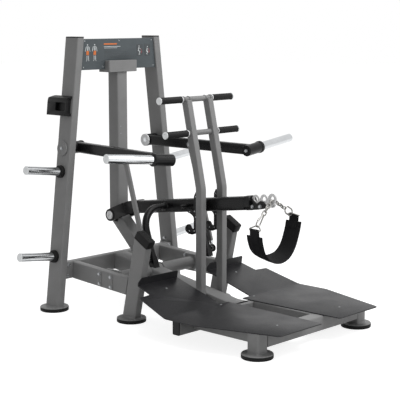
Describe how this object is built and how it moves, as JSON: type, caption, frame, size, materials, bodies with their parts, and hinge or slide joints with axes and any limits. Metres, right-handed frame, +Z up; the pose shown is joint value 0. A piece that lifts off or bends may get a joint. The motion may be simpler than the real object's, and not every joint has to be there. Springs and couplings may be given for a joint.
{
  "type": "belt squat machine",
  "caption": "Free-standing lever belt squat machine with leaning uprights, linked weight arms, release handles, deck plates and a hip belt on a chain.",
  "frame": {"origin": "on the floor under the middle of the machine's bounding box", "axes": "+Z up, the user stands at -Y and faces the tower at +Y, +X is to the right of someone who stands at -Y and looks at the tower"},
  "size_m": [1.5078, 1.781, 1.5863],
  "materials": {
    "frame_grey": "satin grey powder coat",
    "moving_black": "satin black powder coat",
    "deck_dark": "fine textured dark powder coat",
    "rubber_black": "matt moulded rubber",
    "plastic_black": "matt moulded plastic",
    "chrome_bar": "polished chrome",
    "sign_board": "printed slate face",
    "light_steel": "zinc plated steel",
    "webbing": "woven nylon over foam"
  },
  "bodies": {
    "frame": {"upright_left": "frame_grey", "side_beam_left": "frame_grey", "mid_leg_left": "frame_grey", "cross_pipe_left": "frame_grey", "platform_rail_left": "frame_grey", "upright_cap_left": "plastic_black", "stop_block_left": "rubber_black", "foot_pad_rear_left": "rubber_black", "foot_pad_mid_left": "rubber_black", "foot_pad_front_left": "rubber_black", "storage_collar_upper_left": "rubber_black", "storage_collar_lower_left": "rubber_black", "deck_plate_left": "deck_dark", "storage_horn_upper_left": "chrome_bar", "storage_horn_lower_left": "chrome_bar", "arm_shaft_left": "chrome_bar", "upright_right": "frame_grey", "side_beam_right": "frame_grey", "mid_leg_right": "frame_grey", "cross_pipe_right": "frame_grey", "platform_rail_right": "frame_grey", "upright_cap_right": "plastic_black", "stop_block_right": "rubber_black", "foot_pad_rear_right": "rubber_black", "foot_pad_mid_right": "rubber_black", "foot_pad_front_right": "rubber_black", "storage_collar_upper_right": "rubber_black", "storage_collar_lower_right": "rubber_black", "deck_plate_right": "deck_dark", "storage_horn_upper_right": "chrome_bar", "storage_horn_lower_right": "chrome_bar", "arm_shaft_right": "chrome_bar", "head_beam": "frame_grey", "centre_column": "frame_grey", "rear_beam": "frame_grey", "spine_beam": "frame_grey", "platform_crossbeam": "frame_grey", "front_beam": "frame_grey", "sign_panel": "sign_board", "holder": "plastic_black", "lever_shaft": "chrome_bar"},
    "lever": {"belt_lever": "moving_black", "hook_bar": "light_steel", "yoke": "moving_black"},
    "arm_left": {"weight_arm_left": "moving_black", "weight_horn_left": "chrome_bar"},
    "arm_right": {"weight_arm_right": "moving_black", "weight_horn_right": "chrome_bar"},
    "rod_left": {"link_rod_left": "frame_grey"},
    "rod_right": {"link_rod_right": "frame_grey"},
    "handle": {"handle_frame": "frame_grey", "grip_upper_left": "rubber_black", "grip_lower_left": "rubber_black", "grip_upper_right": "rubber_black", "grip_lower_right": "rubber_black", "catch_hook_left": "moving_black", "catch_hook_right": "moving_black"},
    "belt": {"belt": "webbing", "chain_left": "light_steel", "chain_right": "light_steel"}
  },
  "joints": [
    {"name": "lever_pivot", "type": "hinge", "parent": "frame", "child": "lever", "pos_m": [0, 0.7245, 0.517], "axis": [1, 0, 0], "range_deg": [0, 25]},
    {"name": "arm_pivot_left", "type": "hinge", "parent": "frame", "child": "arm_left", "pos_m": [-0.303, 0.7595, 0.945], "axis": [1, 0, 0], "range_deg": [0, 30.2]},
    {"name": "rod_pivot_left", "type": "hinge", "parent": "arm_left", "child": "rod_left", "pos_m": [-0.272, 0.3865, 0.942], "axis": [1, 0, 0], "range_deg": [-23.3, 0]},
    {"name": "arm_pivot_right", "type": "hinge", "parent": "frame", "child": "arm_right", "pos_m": [0.303, 0.7595, 0.945], "axis": [1, 0, 0], "range_deg": [0, 30.2]},
    {"name": "rod_pivot_right", "type": "hinge", "parent": "arm_right", "child": "rod_right", "pos_m": [0.272, 0.3865, 0.942], "axis": [1, 0, 0], "range_deg": [-23.3, 0]},
    {"name": "handle_release", "type": "hinge", "parent": "frame", "child": "handle", "pos_m": [0, -0.0305, 0.118], "axis": [-1, 0, 0], "range_deg": [0, 8.8]},
    {"name": "belt_lift", "type": "hinge", "parent": "lever", "child": "belt", "pos_m": [0, -0.4865, 0.72655], "axis": [1, 0, 0], "range_deg": [-205.1, 0]}
  ],
  "couplings": [
    {"joint": "arm_pivot_left", "follows": "lever_pivot", "ratio": 1.206},
    {"joint": "rod_pivot_left", "follows": "lever_pivot", "ratio": -0.93},
    {"joint": "arm_pivot_right", "follows": "lever_pivot", "ratio": 1.206},
    {"joint": "rod_pivot_right", "follows": "lever_pivot", "ratio": -0.93},
    {"joint": "belt_lift", "follows": "lever_pivot", "ratio": -8.2}
  ]
}
